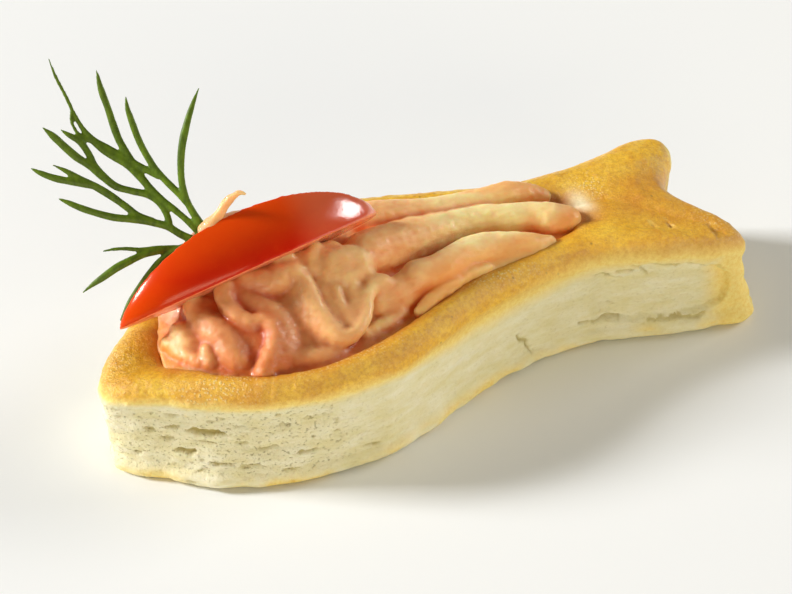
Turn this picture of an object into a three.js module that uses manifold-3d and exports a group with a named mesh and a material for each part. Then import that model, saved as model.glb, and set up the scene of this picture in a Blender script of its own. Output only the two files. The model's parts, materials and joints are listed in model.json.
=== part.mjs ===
import * as THREE from "three";
import Module from "manifold-3d";

// A fish-shaped vol-au-vent: a hollow puff pastry case filled with piped salmon cream,
// with a wedge of tomato leaning on the cream and a sprig of dill stuck in behind it.
// Sizes are in millimetres. The nose points to -X, the tail to +X, +Z is up, and the
// origin is in the middle of the flat underside.

// ---- Driving dimensions ----

// Round the case, from the nose along the near side to the tail and back along the far side:
// the crust's outer edge x and y, the height of the rim there, how far the foot of the wall
// stands out past the crust (less than 0 where it draws in), and the hollow's edge x and y.
const CASE_STATIONS = [
  [-40.3, -3.0, 12.3, -1.2, -32.6, -1.8],
  [-38.6, -5.2, 12.6, -0.3, -32.0, -3.4],
  [-34.6, -7.6, 12.9, 0.6, -30.4, -4.9],
  [-29.5, -11.0, 13.2, 1.3, -27.4, -7.4],
  [-23.5, -13.9, 13.4, 0.8, -22.8, -10.4],
  [-16.5, -15.2, 13.6, 0.5, -17.2, -11.6],
  [-9.5, -14.9, 13.8, 0.5, -11.6, -11.1],
  [-3.5, -12.9, 14.0, 0.4, -5.6, -9.5],
  [2.5, -10.3, 14.0, 0.4, 0.6, -6.9],
  [8.5, -8.3, 14.0, 0.4, 6.6, -4.6],
  [14.5, -7.3, 14.0, 0.3, 12.8, -3.7],
  [20.5, -7.1, 14.0, 0.3, 18.2, -2.1],
  [26.0, -8.4, 14.0, 0.3, 21.6, -0.9],
  [31.5, -10.0, 13.8, 0.4, 23.3, -0.3],
  [36.8, -10.9, 13.0, 0.4, 24.0, 0.1],
  [40.4, -10.5, 12.3, 1.5, 24.3, 0.5],
  [40.2, -7.8, 13.0, 1.4, 24.5, 0.9],
  [38.0, -3.6, 13.6, 1.0, 24.6, 1.3],
  [36.0, 1.2, 13.8, 0.3, 24.6, 1.8],
  [37.6, 4.2, 14.1, 0.0, 24.5, 2.3],
  [40.0, 6.6, 14.4, 0.0, 24.3, 2.7],
  [40.3, 10.2, 14.5, 0.0, 24.0, 3.1],
  [36.6, 11.5, 14.5, 0.0, 23.4, 3.6],
  [31.5, 10.6, 14.3, 0.0, 21.8, 4.4],
  [25.5, 10.2, 14.2, 0.0, 18.8, 5.4],
  [18.5, 10.5, 14.2, 0.0, 14.6, 6.6],
  [11.5, 12.5, 14.2, 0.0, 9.2, 8.4],
  [4.0, 15.2, 14.0, 0.0, 3.0, 10.8],
  [-3.8, 17.6, 13.6, 0.0, -3.4, 13.0],
  [-12.0, 17.9, 13.5, 0.0, -11.2, 13.4],
  [-20.0, 15.2, 13.4, 0.0, -18.6, 11.2],
  [-27.6, 11.2, 13.2, 0.0, -25.2, 8.0],
  [-34.0, 5.4, 12.9, 0.0, -30.2, 3.8],
  [-38.6, 0.8, 12.6, -0.9, -32.2, 0.6],
];
const SAMPLES_PER_STATION = 3;
const CASE_SEED = 7;
const FOOT_CENTRE = new THREE.Vector2(-10, 1.5);
const CRUST_EDGE_BELOW_TOP = 3.2;

// Wall below the crust, as height and how far it stands out: the thin ledge of the foot,
// then flaky layers that stand out and draw in by turns.
const WALL_LEVELS = [
  [0.0, -0.2],
  [0.5, 0.5],
  [1.4, 0.6],
  [2.2, -0.1],
  [3.8, 0.05],
  [5.4, -0.25],
  [7.0, 0.0],
  [8.4, -0.25],
];
// Crust's rounded shoulder, as depth below the rim's top and how far it stands out.
const SHOULDER_LEVELS = [
  [CRUST_EDGE_BELOW_TOP, -0.1],
  [2.3, 0.3],
  [1.1, 0.0],
  [0.3, -0.9],
];
// Rim from the shoulder to the hollow's edge, as share of the way and height above the top.
const RIM_LEVELS = [
  [0.3, 0.15],
  [0.62, -0.05],
  [0.86, -0.55],
  [1.0, -1.5],
];
// Hollow below its edge, as height and how far its wall draws in.
const HOLLOW_LEVELS = [
  [9.8, 0.3],
  [6.6, 1.1],
];
const HOLLOW_FLOOR = 6.4;
const LAYER_UNEVENNESS = 0.16;
const RIM_UNEVENNESS = 0.12;

// Touching pieces keep this gap.
const GAP = 0.3;

// The cream fills the hollow. Its side, from the floor up, is given as height and inset from
// the hollow's edge, and its bed between the piped strands rises to BED_TOP in the middle.
const CREAM_SIDE = [
  [HOLLOW_FLOOR + GAP, 1.5],
  [9.8, 0.8],
  [12.2, 0.5],
];
const BED_EDGE = 12.6;
const BED_TOP = 13.4;
// From the hollow's edge the cream rises no steeper than this.
const EDGE_STEEPNESS = 3;
const CREAM_STATIONS = 58;
const CREAM_COLUMNS = 22;
const FLOOR_COLUMNS = 4;
// The outermost columns stand this share of the width in from the hollow's edge.
const EDGE_COLUMN = 0.02;
// The cream's two ends are taken this share of its length in from the hollow's ends.
const END_SHARE = 0.001;

// Heap of cream under and behind the tomato, as centre and radii of its lumps.
const HEAP_LUMPS = [
  { centre: [-19.5, 1.6, 11.0], radii: [11.0, 9.4, 7.8] },
  { centre: [-19.0, 6.4, 14.0], radii: [9.0, 5.2, 9.8] },
  { centre: [-7.0, 5.6, 12.0], radii: [9.0, 6.0, 6.0] },
];

// Piped cream, each strand as x, y, z and radius along its middle.
const STRANDS = {
  far: [
    [-12, 6.4, 16.4, 3.2],
    [0, 6.4, 15.4, 2.9],
    [8, 6.4, 14.5, 2.5],
    [15, 6.0, 13.9, 2.1],
    [20, 5.9, 13.4, 1.4],
    [22, 6.0, 13.3, 0.7],
  ],
  middle: [
    [-11, 0.6, 15.9, 3.1],
    [-3, 0.9, 15.4, 3.0],
    [5, 2.2, 14.9, 2.8],
    [12, 2.5, 14.1, 2.5],
    [18.5, 1.6, 13.3, 2.1],
    [22.6, 0.6, 13.0, 0.9],
  ],
  near: [
    [-8.6, -6.4, 15.4, 1.6],
    [-6.2, -6.6, 15.8, 1.8],
    [-3.2, -5.8, 15.1, 1.9],
    [0.6, -3.6, 14.5, 2.0],
    [5.5, -1.9, 13.7, 2.0],
    [11, -1.9, 13.2, 1.8],
    [15.4, -2.3, 13.1, 1.4],
    [17.8, -2.3, 13.2, 0.7],
  ],
  short: [
    [-3.4, -7.4, 12.6, 1.2],
    [0, -6.2, 13.0, 1.2],
    [4.4, -4.7, 13.2, 1.1],
    [8.0, -3.7, 13.3, 0.6],
  ],
  loop: [
    [-16.6, -0.6, 18.4, 2.0],
    [-15.6, -3.4, 18.0, 2.1],
    [-14.9, -6.4, 16.4, 2.0],
    [-14.0, -8.6, 14.4, 2.0],
    [-12.0, -9.2, 13.4, 1.8],
    [-10.2, -7.9, 14.4, 1.6],
    [-8.6, -6.4, 15.4, 1.6],
  ],
  thirdFold: [
    [-19.4, -2.4, 17.2, 1.9],
    [-18.6, -5.4, 15.4, 1.8],
    [-18.2, -8.0, 13.4, 1.6],
    [-18.0, -9.8, 12.4, 1.2],
  ],
  secondFold: [
    [-26.2, -0.6, 17.4, 1.8],
    [-25.2, -3.4, 16.2, 1.9],
    [-23.2, -5.2, 15.2, 1.8],
    [-21.4, -6.2, 14.6, 1.8],
    [-21.2, -8.0, 13.2, 1.6],
    [-21.8, -9.2, 12.4, 1.3],
  ],
  firstFold: [
    [-27.6, -2.6, 15.6, 1.7],
    [-26.8, -4.8, 14.2, 1.8],
    [-25.8, -6.4, 12.8, 1.6],
  ],
  headFold: [
    [-29.4, 0.4, 16.2, 1.6],
    [-29.8, -1.8, 15.0, 1.7],
    [-29.6, -3.2, 13.4, 1.6],
  ],
  root: [
    [-11.2, 0.4, 18.4, 2.2],
    [-10.2, -2.4, 17.4, 2.2],
    [-10.4, -4.4, 15.6, 1.8],
  ],
};
const STRAND_STEP = 0.5;
// A thin peak of cream pulled up behind the tomato: where its foot and tip are, and how wide
// it is at the foot.
const PEAK_FOOT = new THREE.Vector3(-20.6, 6.2, 24.0);
const PEAK_TIP = new THREE.Vector3(-18.6, 6.8, 29.0);
const PEAK_REACH = 2.3;

// Tomato wedge: its two tips, and its cross-section half way along. "Out" points from the core
// to the skin's lower edge, and "up" square to that and to the line between the tips.
const WEDGE_TIPS = [
  [-35.5, 3.3, 14.0],
  [-1.7, 4.5, 19.0],
];
const WEDGE_OUT = new THREE.Vector3(-0.355, -0.715, 0.602);
const WEDGE_DEPTH = 7.0;
const WEDGE_HEIGHT = 6.9;
const WEDGE_TOP_DEPTH = 5.6;
const CORE_DROP = 0.7;
const SKIN_BULGE = 0.9;
// The wedge is fullest at this share of its length, and blunter at the far end of it.
const WEDGE_FULLEST = 0.55;
const WEDGE_TAPER = [0.75, 0.5];
const WEDGE_STATIONS = 26;
const SKIN_STEPS = 6;
const CUT_STEPS = 2;

// Dill sprig. Its threads lie about in one plane: x runs across it, y up along it, from the
// point where the stalk goes into the cream. Each thread is: start x and y, tip x and y, how
// far it bows to its left, and its half width at the start and at the tip.
const SPRIG_ROOT = new THREE.Vector3(-23.1, 5.6, 22.0);
const SPRIG_ACROSS = new THREE.Vector3(0.896, -0.445, 0);
const SPRIG_ALONG = new THREE.Vector3(0.268, 0.539, 0.799);
const SPRIG_LEAN = 0.05;
const THREADS = [
  [0.5, -1.6, -0.2, 0.8, 0.0, 0.7, 0.65],
  [-0.2, 0.8, -2.4, 4.0, 0.1, 0.65, 0.5],
  [-2.4, 4.0, -1.0, 17.2, 1.1, 0.5, 0.16],
  [-2.4, 4.0, -9.5, 16.0, 1.1, 0.5, 0.16],
  [-5.8, 7.0, -13.4, 11.3, 0.3, 0.45, 0.42],
  [-13.4, 11.3, -18.2, 20.4, 0.7, 0.42, 0.16],
  [-13.2, 10.9, -15.7, 14.4, 0.7, 0.4, 0.16],
  [-8.8, 9.0, -12.8, 19.1, 0.6, 0.42, 0.16],
  [-0.2, 0.2, -12.6, 9.9, -0.3, 0.6, 0.35],
  [-3.9, 1.3, -10.0, 8.3, -0.2, 0.55, 0.35],
  [0.2, -0.8, -3.9, 1.3, 0.0, 0.65, 0.6],
  [-3.9, 1.3, -17.0, 4.3, 0.8, 0.5, 0.16],
  [-3.9, 1.3, -17.6, 8.1, 0.2, 0.5, 0.16],
  [-4.7, 1.7, -12.2, 6.4, -0.8, 0.5, 0.45],
  [-12.2, 6.4, -16.8, 12.1, -0.8, 0.45, 0.16],
  [-12.2, 6.4, -18.9, 12.3, 0.2, 0.42, 0.16],
  [-12.2, 6.2, -20.2, 7.8, 0.5, 0.42, 0.16],
  [0.4, -1.5, -3.0, -1.4, 0.0, 0.6, 0.6],
  [-3.0, -1.4, -11.8, -1.8, -0.1, 0.5, 0.16],
  [-3.0, -1.4, -14.1, -6.4, -1.05, 0.5, 0.16],
  [-3.0, -1.4, -9.6, -9.2, -0.9, 0.55, 0.16],
];
const THREAD_SIDES = 6;
const THREAD_STEP = 2.6;
const FEWEST_THREAD_STEPS = 3;
const THREAD_FLATNESS = 0.6;

// Colours as the food shows them.
const FINISHES = {
  pastry_case: { color: 0xd9b470, roughness: 0.6, metalness: 0 },
  cream: { color: 0xe8a37c, roughness: 0.35, metalness: 0 },
  tomato_wedge: { color: 0xc23a10, roughness: 0.15, metalness: 0 },
  dill_sprig: { color: 0x4f6f22, roughness: 0.5, metalness: 0 },
};

// ---- Shape tools ----

const wasm = await Module();
wasm.setup();

const DRAW_RANGE = 2 ** 32;
const DRAW_FACTOR = 1664525;
const DRAW_SHIFT = 1013904223;

// The same unevenness each time, from -1 to 1.
function seededDraws(seed) {
  let state = seed;
  return () => {
    state = (state * DRAW_FACTOR + DRAW_SHIFT) % DRAW_RANGE;
    return (state / DRAW_RANGE) * 2 - 1;
  };
}

// A closed surface through rings of equal length, from one end point to the other. Each ring
// turns anticlockwise as seen from the end that the rings lead to.
function ringSurface(start, rings, end) {
  const count = rings[0].length;
  const points = [start, ...rings.flat(), end];
  const last = points.length - 1;
  const at = (ring, i) => 1 + ring * count + (i % count);
  const faces = [];
  for (let i = 0; i < count; i++) {
    faces.push(0, at(0, i + 1), at(0, i));
    for (let ring = 0; ring + 1 < rings.length; ring++) {
      faces.push(at(ring, i), at(ring, i + 1), at(ring + 1, i + 1));
      faces.push(at(ring, i), at(ring + 1, i + 1), at(ring + 1, i));
    }
    faces.push(at(rings.length - 1, i), at(rings.length - 1, i + 1), last);
  }
  const geometry = new THREE.BufferGeometry().setFromPoints(points);
  geometry.setIndex(faces);
  return geometry;
}

// A tapered flattened tube with closed ends. radiusAt gives its half width by share of length.
function taperedTube(curve, radiusAt) {
  const steps = Math.max(FEWEST_THREAD_STEPS, Math.round(curve.getLength() / THREAD_STEP));
  const { normals, binormals, tangents } = curve.computeFrenetFrames(steps);
  const rings = [];
  for (let i = 0; i <= steps; i++) {
    const middle = curve.getPointAt(i / steps);
    const radius = radiusAt(i / steps);
    const ring = [];
    for (let j = 0; j < THREAD_SIDES; j++) {
      const angle = (j / THREAD_SIDES) * Math.PI * 2;
      const point = middle.clone();
      point.addScaledVector(normals[i], Math.cos(angle) * radius);
      point.addScaledVector(binormals[i], Math.sin(angle) * radius * THREAD_FLATNESS);
      ring.push(point);
    }
    rings.push(ring);
  }
  const start = curve.getPointAt(0).addScaledVector(tangents[0], -radiusAt(0) / 2);
  const end = curve.getPointAt(1).addScaledVector(tangents[steps], radiusAt(1) / 2);
  return ringSurface(start, rings, end);
}

// The geometry as a solid for cuts and joins.
function solidOf(geometry) {
  return new wasm.Manifold(
    new wasm.Mesh({
      numProp: 3,
      vertProperties: new Float32Array(geometry.getAttribute("position").array),
      triVerts: new Uint32Array(geometry.index.array),
    }),
  );
}

// The solid as a geometry.
function geometryOf(solid) {
  const { vertProperties, triVerts } = solid.getMesh();
  const geometry = new THREE.BufferGeometry();
  geometry.setAttribute("position", new THREE.BufferAttribute(vertProperties, 3));
  geometry.setIndex(new THREE.BufferAttribute(triVerts, 1));
  return geometry;
}

function joined(geometries) {
  return geometries.map(solidOf).reduce((all, next) => all.add(next));
}

// ---- Pastry case ----

const roundTheCase = (pick) =>
  new THREE.CatmullRomCurve3(
    CASE_STATIONS.map((row) => new THREE.Vector3(...pick(row))),
    true,
    "centripetal",
  );
const crustCurve = roundTheCase(([x, y, top]) => [x, y, top]);
const spreadCurve = roundTheCase(([x, y, , spread]) => [x, y, spread]);
const hollowCurve = roundTheCase(([, , , , x, y]) => [x, y, 0]);

// What the case measures at each of its samples: the crust's edge, the hollow's edge, their
// outward directions, the rim's top and the foot's spread.
function caseSamples() {
  const count = CASE_STATIONS.length * SAMPLES_PER_STATION;
  const outward = (curve, t) => {
    const along = curve.getTangent(t);
    return new THREE.Vector2(along.y, -along.x).normalize();
  };
  return Array.from({ length: count }, (_, i) => {
    const t = i / count;
    const crust = crustCurve.getPoint(t);
    const hollow = hollowCurve.getPoint(t);
    return {
      crust: new THREE.Vector2(crust.x, crust.y),
      top: crust.z,
      spread: spreadCurve.getPoint(t).z,
      crustOut: outward(crustCurve, t),
      hollow: new THREE.Vector2(hollow.x, hollow.y),
      hollowOut: outward(hollowCurve, t),
    };
  });
}
const samples = caseSamples();

const at3 = (flat, z) => new THREE.Vector3(flat.x, flat.y, z);

// A point on the case's outside, at a height and an outward offset.
function outside(sample, z, offset) {
  const rise = THREE.MathUtils.smoothstep(z, 0, sample.top - CRUST_EDGE_BELOW_TOP);
  const spread = sample.spread * (1 - rise);
  return sample.crust.clone().addScaledVector(sample.crustOut, offset + spread);
}

// A point on the hollow's wall, drawn in by an inset.
const inside = (sample, inset) =>
  sample.hollow.clone().addScaledVector(sample.hollowOut, -inset);

function caseGeometry() {
  const draw = seededDraws(CASE_SEED);
  const rings = [];
  for (const [z, offset] of WALL_LEVELS) {
    const wander = z > 0 ? LAYER_UNEVENNESS : 0;
    rings.push(samples.map((s) => at3(outside(s, z, offset + wander * draw()), z)));
  }
  for (const [below, offset] of SHOULDER_LEVELS) {
    rings.push(
      samples.map((s) => {
        const z = s.top - below;
        return at3(outside(s, z, offset), z);
      }),
    );
  }
  const [, shoulderOffset] = SHOULDER_LEVELS[SHOULDER_LEVELS.length - 1];
  for (const [share, above] of RIM_LEVELS) {
    rings.push(
      samples.map((s) => {
        const shoulder = outside(s, s.top, shoulderOffset);
        const flat = shoulder.lerp(s.hollow, share);
        return at3(flat, s.top + above + RIM_UNEVENNESS * draw() * (1 - share));
      }),
    );
  }
  for (const [z, inset] of HOLLOW_LEVELS) {
    rings.push(samples.map((s) => at3(inside(s, inset), z)));
  }
  const below = at3(FOOT_CENTRE, 0);
  const floor = at3(FOOT_CENTRE, HOLLOW_FLOOR);
  return ringSurface(below, rings, floor);
}

// ---- Tomato wedge ----

function wedgeFullness(share) {
  const rising = share < WEDGE_FULLEST;
  const reach = rising ? WEDGE_FULLEST : 1 - WEDGE_FULLEST;
  const off = (share - WEDGE_FULLEST) / reach;
  return (1 - off * off) ** WEDGE_TAPER[rising ? 0 : 1];
}

// Half way along, the cross-section runs from the core up the far cut, down the skin and back
// along the near cut. Each pair is up and out.
const wedgeCore = new THREE.Vector2(-CORE_DROP, 0);
const wedgeTop = new THREE.Vector2(WEDGE_HEIGHT, WEDGE_TOP_DEPTH);
const wedgeFoot = new THREE.Vector2(0, WEDGE_DEPTH);

function wedgeSection() {
  const section = [];
  for (let i = 0; i < CUT_STEPS; i++) {
    section.push(wedgeCore.clone().lerp(wedgeTop, i / CUT_STEPS));
  }
  for (let i = 0; i < SKIN_STEPS; i++) {
    const share = i / SKIN_STEPS;
    const point = wedgeTop.clone().lerp(wedgeFoot, share);
    point.y += SKIN_BULGE * 4 * share * (1 - share);
    section.push(point);
  }
  for (let i = 0; i < CUT_STEPS; i++) {
    section.push(wedgeFoot.clone().lerp(wedgeCore, i / CUT_STEPS));
  }
  return section;
}

const [wedgeStart, wedgeEnd] = WEDGE_TIPS.map((tip) => new THREE.Vector3(...tip));
const wedgeUp = new THREE.Vector3()
  .crossVectors(WEDGE_OUT, wedgeEnd.clone().sub(wedgeStart))
  .normalize();

// The section point (up, out) on the wedge at a share of its length.
function onWedge(point, share) {
  const fullness = wedgeFullness(share);
  return wedgeStart
    .clone()
    .lerp(wedgeEnd, share)
    .addScaledVector(wedgeUp, point.x * fullness)
    .addScaledVector(WEDGE_OUT, point.y * fullness);
}

function wedgeGeometry() {
  const section = wedgeSection();
  const rings = [];
  for (let i = 1; i < WEDGE_STATIONS; i++) {
    const share = (1 - Math.cos((i / WEDGE_STATIONS) * Math.PI)) / 2;
    rings.push(section.map((point) => onWedge(point, share)));
  }
  return ringSurface(wedgeStart, rings, wedgeEnd);
}

// ---- Dill sprig ----

function inSprig(x, y) {
  const facing = new THREE.Vector3().crossVectors(SPRIG_ACROSS, SPRIG_ALONG);
  return SPRIG_ROOT.clone()
    .addScaledVector(SPRIG_ACROSS, x)
    .addScaledVector(SPRIG_ALONG, y)
    .addScaledVector(facing, -SPRIG_LEAN * y + SPRIG_LEAN * Math.abs(x));
}

function threadCurve([x, y, tipX, tipY, bow]) {
  const length = Math.hypot(tipX - x, tipY - y);
  const leftX = -(tipY - y) / length;
  const leftY = (tipX - x) / length;
  return new THREE.QuadraticBezierCurve3(
    inSprig(x, y),
    inSprig((x + tipX) / 2 + 2 * bow * leftX, (y + tipY) / 2 + 2 * bow * leftY),
    inSprig(tipX, tipY),
  );
}

function threadGeometry(row) {
  const [halfWidth, tipHalfWidth] = row.slice(5);
  const radiusAt = (share) => halfWidth + (tipHalfWidth - halfWidth) * share;
  return taperedTube(threadCurve(row), radiusAt);
}

const sprigGeometry = () => geometryOf(joined(THREADS.map(threadGeometry)));

// ---- Cream ----

// The hollow's outline at an inset, as a closed run of points.
const hollowOutline = (inset) => samples.map((s) => inside(s, inset));

// Where a line across the fish, at a share of the outline's length, meets its two sides.
function crossing(outline, share) {
  const xs = outline.map((point) => point.x);
  const x = THREE.MathUtils.lerp(Math.min(...xs), Math.max(...xs), share);
  const hits = [];
  outline.forEach((from, i) => {
    const to = outline[(i + 1) % outline.length];
    if (from.x < x === to.x < x) return;
    hits.push(THREE.MathUtils.mapLinear(x, from.x, to.x, from.y, to.y));
  });
  return { x, near: Math.min(...hits), far: Math.max(...hits) };
}

// Balls along every strand, whose tops make the piped surface.
const strandBalls = Object.values(STRANDS).flatMap((rows) => {
  const middle = new THREE.CatmullRomCurve3(rows.map(([x, y, z]) => new THREE.Vector3(x, y, z)));
  const radii = new THREE.CatmullRomCurve3(rows.map((row) => new THREE.Vector3(row[3], 0, 0)));
  const steps = Math.round(middle.getLength() / STRAND_STEP);
  return Array.from({ length: steps + 1 }, (_, i) => ({
    centre: middle.getPoint(i / steps),
    radius: radii.getPoint(i / steps).x,
  }));
});

// How high the cream stands over a point of a cross-section, with nothing resting on it.
function pipedHeight(x, y, { near, far }) {
  const across = (y - near) / (far - near);
  let z = THREE.MathUtils.lerp(BED_EDGE, BED_TOP, 4 * across * (1 - across));
  for (const { centre, radii } of HEAP_LUMPS) {
    const off = ((x - centre[0]) / radii[0]) ** 2 + ((y - centre[1]) / radii[1]) ** 2;
    if (off < 1) z = Math.max(z, centre[2] + radii[2] * Math.sqrt(1 - off));
  }
  for (const { centre, radius } of strandBalls) {
    const off = (x - centre.x) ** 2 + (y - centre.y) ** 2;
    if (off < radius ** 2) z = Math.max(z, centre.z + Math.sqrt(radius ** 2 - off));
  }
  return Math.min(z, BED_EDGE + EDGE_STEEPNESS * Math.min(y - near, far - y));
}

const WEDGE_CLEARANCE = 2 * GAP;

// The tomato's core line and the lower edge of its skin over a given x, or null past its tips.
function wedgeOver(x) {
  const length = wedgeEnd.x - wedgeStart.x;
  const past = (x - wedgeStart.x) / length;
  if (Math.abs(past - 0.5) > 0.5 + WEDGE_CLEARANCE / length) return null;
  const share = THREE.MathUtils.clamp(past, 0, 1);
  const skew = (-WEDGE_OUT.x * WEDGE_DEPTH * wedgeFullness(share)) / length;
  const near = THREE.MathUtils.clamp(share + skew, 0, 1);
  return { core: onWedge(wedgeCore, share), foot: onWedge(wedgeFoot, near) };
}

const BALLS_PER_THREAD = 12;
const THREAD_CLEARANCE = 3 * GAP;

const threadBalls = THREADS.flatMap((row) =>
  threadCurve(row)
    .getPoints(BALLS_PER_THREAD)
    .map((centre) => ({ centre, radius: row[5] })),
);

// The same height once the tomato and the dill lie on the cream, each with its gap.
function creamHeight(x, y, cross) {
  let z = pipedHeight(x, y, cross);
  const wedge = wedgeOver(x);
  if (wedge && y < wedge.core.y + WEDGE_CLEARANCE) {
    const { core, foot } = wedge;
    const depth = Math.max(core.y - foot.y, GAP);
    const along = THREE.MathUtils.clamp((y - foot.y) / depth, 0, 1);
    z = Math.min(z, THREE.MathUtils.lerp(foot.z, core.z, along) - WEDGE_CLEARANCE);
  }
  for (const { centre, radius } of threadBalls) {
    const off = Math.hypot(x - centre.x, y - centre.y);
    if (off < radius + THREAD_CLEARANCE) z = Math.min(z, centre.z - radius - GAP);
  }
  return z;
}

const STEP_BEHIND_WEDGE = 1.6;
// The cream steps up behind the tomato only where the step is between these shares across it.
const STEP_BETWEEN = [0.1, 0.95];

// Shares across the cream at which its columns stand. Over the tomato's core line two columns
// stand close together, so that the cream can step up behind the tomato.
function columnShares(cross) {
  const even = Array.from({ length: CREAM_COLUMNS }, (_, i) => i / (CREAM_COLUMNS - 1));
  const wedge = wedgeOver(cross.x);
  if (!wedge) return even;
  const width = cross.far - cross.near;
  const front = (wedge.core.y + GAP - cross.near) / width;
  const back = (wedge.core.y + STEP_BEHIND_WEDGE - cross.near) / width;
  if (front < STEP_BETWEEN[0] || back > STEP_BETWEEN[1]) return even;
  const split = Math.round(front * (CREAM_COLUMNS - 1));
  return even.map((_, i) =>
    i <= split
      ? (front * i) / split
      : back + ((1 - back) * (i - split - 1)) / (CREAM_COLUMNS - 2 - split),
  );
}

// Pulls the surface up into the thin peak.
function pulledUp(point) {
  const off = Math.hypot(point.x - PEAK_FOOT.x, point.y - PEAK_FOOT.y) / PEAK_REACH;
  const pull = Math.max(0, 1 - off) ** 2;
  return point.addScaledVector(PEAK_TIP.clone().sub(PEAK_FOOT), pull);
}

function creamGeometry() {
  const outlines = CREAM_SIDE.map(([, inset]) => hollowOutline(inset));
  const rings = [];
  for (let i = 1; i < CREAM_STATIONS; i++) {
    const crossings = outlines.map((outline) => crossing(outline, i / CREAM_STATIONS));
    const [floor] = crossings;
    const rim = crossings[crossings.length - 1];
    const ring = [];
    for (let j = 0; j <= FLOOR_COLUMNS; j++) {
      const y = THREE.MathUtils.lerp(floor.near, floor.far, j / FLOOR_COLUMNS);
      ring.push(new THREE.Vector3(floor.x, y, CREAM_SIDE[0][0]));
    }
    crossings.slice(1).forEach(({ x, far }, level) => {
      ring.push(new THREE.Vector3(x, far, CREAM_SIDE[level + 1][0]));
    });
    for (const share of columnShares(rim).reverse()) {
      const across = THREE.MathUtils.lerp(EDGE_COLUMN, 1 - EDGE_COLUMN, share);
      const y = THREE.MathUtils.lerp(rim.near, rim.far, across);
      ring.push(pulledUp(new THREE.Vector3(rim.x, y, creamHeight(rim.x, y, rim))));
    }
    crossings.slice(1).reverse().forEach(({ x, near }, level) => {
      ring.push(new THREE.Vector3(x, near, CREAM_SIDE[CREAM_SIDE.length - 1 - level][0]));
    });
    rings.push(ring);
  }
  const [first, last] = [END_SHARE, 1 - END_SHARE].map((share) => {
    const { x, near, far } = crossing(outlines[1], share);
    return new THREE.Vector3(x, (near + far) / 2, CREAM_SIDE[1][0]);
  });
  return ringSurface(first, rings, last);
}

// ---- The whole ----

function piece(name, geometry) {
  const mesh = new THREE.Mesh(geometry, new THREE.MeshStandardMaterial(FINISHES[name]));
  mesh.name = name;
  return mesh;
}

const volAuVent = new THREE.Group();
volAuVent.add(
  piece("pastry_case", caseGeometry()),
  piece("cream", creamGeometry()),
  piece("tomato_wedge", wedgeGeometry()),
  piece("dill_sprig", sprigGeometry()),
);

export default volAuVent;
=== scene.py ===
import itertools
import json
import math

import bmesh
import bpy
import numpy as np
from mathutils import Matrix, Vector

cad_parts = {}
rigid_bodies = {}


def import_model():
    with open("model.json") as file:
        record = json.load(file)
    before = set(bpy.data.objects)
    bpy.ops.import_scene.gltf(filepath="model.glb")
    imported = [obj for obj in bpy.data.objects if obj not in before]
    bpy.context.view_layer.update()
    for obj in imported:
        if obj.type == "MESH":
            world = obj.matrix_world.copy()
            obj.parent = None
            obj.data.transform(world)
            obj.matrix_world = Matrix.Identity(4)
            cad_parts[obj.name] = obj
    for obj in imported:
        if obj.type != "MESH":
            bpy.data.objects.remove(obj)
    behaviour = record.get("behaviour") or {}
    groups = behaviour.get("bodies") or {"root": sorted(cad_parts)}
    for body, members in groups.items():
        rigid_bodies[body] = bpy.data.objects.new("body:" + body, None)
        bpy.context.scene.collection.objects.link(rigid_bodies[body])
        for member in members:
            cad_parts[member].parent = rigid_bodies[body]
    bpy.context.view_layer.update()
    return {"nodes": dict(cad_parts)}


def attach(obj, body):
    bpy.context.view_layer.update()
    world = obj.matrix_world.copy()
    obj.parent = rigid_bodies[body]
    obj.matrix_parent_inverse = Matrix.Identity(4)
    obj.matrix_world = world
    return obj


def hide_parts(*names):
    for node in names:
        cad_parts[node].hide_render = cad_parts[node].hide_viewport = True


# A fish-shaped vol-au-vent: a puff pastry case filled with piped salmon cream, a wedge of
# tomato leaning on the cream and a sprig of dill stuck in behind it.
# Shapes are worked out in millimetres in the frame's axes, nose to -X, tail to +X and +Z up,
# and turned into metres when their object is made.

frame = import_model()

MM = 0.001

# ---- Camera, floor and light ----

CAMERA_AZIMUTH = -26.4
CAMERA_ELEVATION = 37.0
CAMERA_DISTANCE = 373.6
CAMERA_TARGET = Vector((4.18, 11.57, 0.0))
FIELD_OF_VIEW = 15.0

FLOOR_WIDTH = 4000.0
FLOOR_BELOW = 0.05
FLOOR_COLOUR = (0.86, 0.86, 0.845, 1)
WORLD_COLOUR = (1.0, 0.96, 0.82, 1)
WORLD_STRENGTH = 0.21
LIGHT_DISTANCE = 3200.0
# Each light: azimuth and elevation to it as for the camera, width, height, power, colour.
LIGHTS = {
    "key": (-123.0, 26.0, 700.0, 700.0, 150.0, (0.96, 0.97, 1.0)),
    "right_window": (88.0, 24.0, 1700.0, 1000.0, 47.0, (1.0, 1.0, 1.0)),
    "front_fill": (-15.0, 13.0, 2600.0, 800.0, 45.0, (1.0, 0.92, 0.68)),
}


def towards(azimuth, elevation):
    """The direction from the food to where an azimuth and an elevation look from."""
    a, e = math.radians(azimuth), math.radians(elevation)
    return Vector((math.sin(a) * math.cos(e), -math.cos(a) * math.cos(e), math.sin(e)))


def linked(name, data):
    thing = bpy.data.objects.new(name, data)
    bpy.context.scene.collection.objects.link(thing)
    return thing


def aimed(thing, azimuth, elevation, distance, target):
    back = towards(azimuth, elevation)
    thing.location = (target + back * distance) * MM
    thing.rotation_euler = (-back).to_track_quat("-Z", "Y").to_euler()
    return thing


def add_camera():
    camera = linked("camera", bpy.data.cameras.new("camera"))
    camera.data.angle = math.radians(FIELD_OF_VIEW)
    aimed(camera, CAMERA_AZIMUTH, CAMERA_ELEVATION, CAMERA_DISTANCE, CAMERA_TARGET)
    bpy.context.scene.camera = camera


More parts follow.
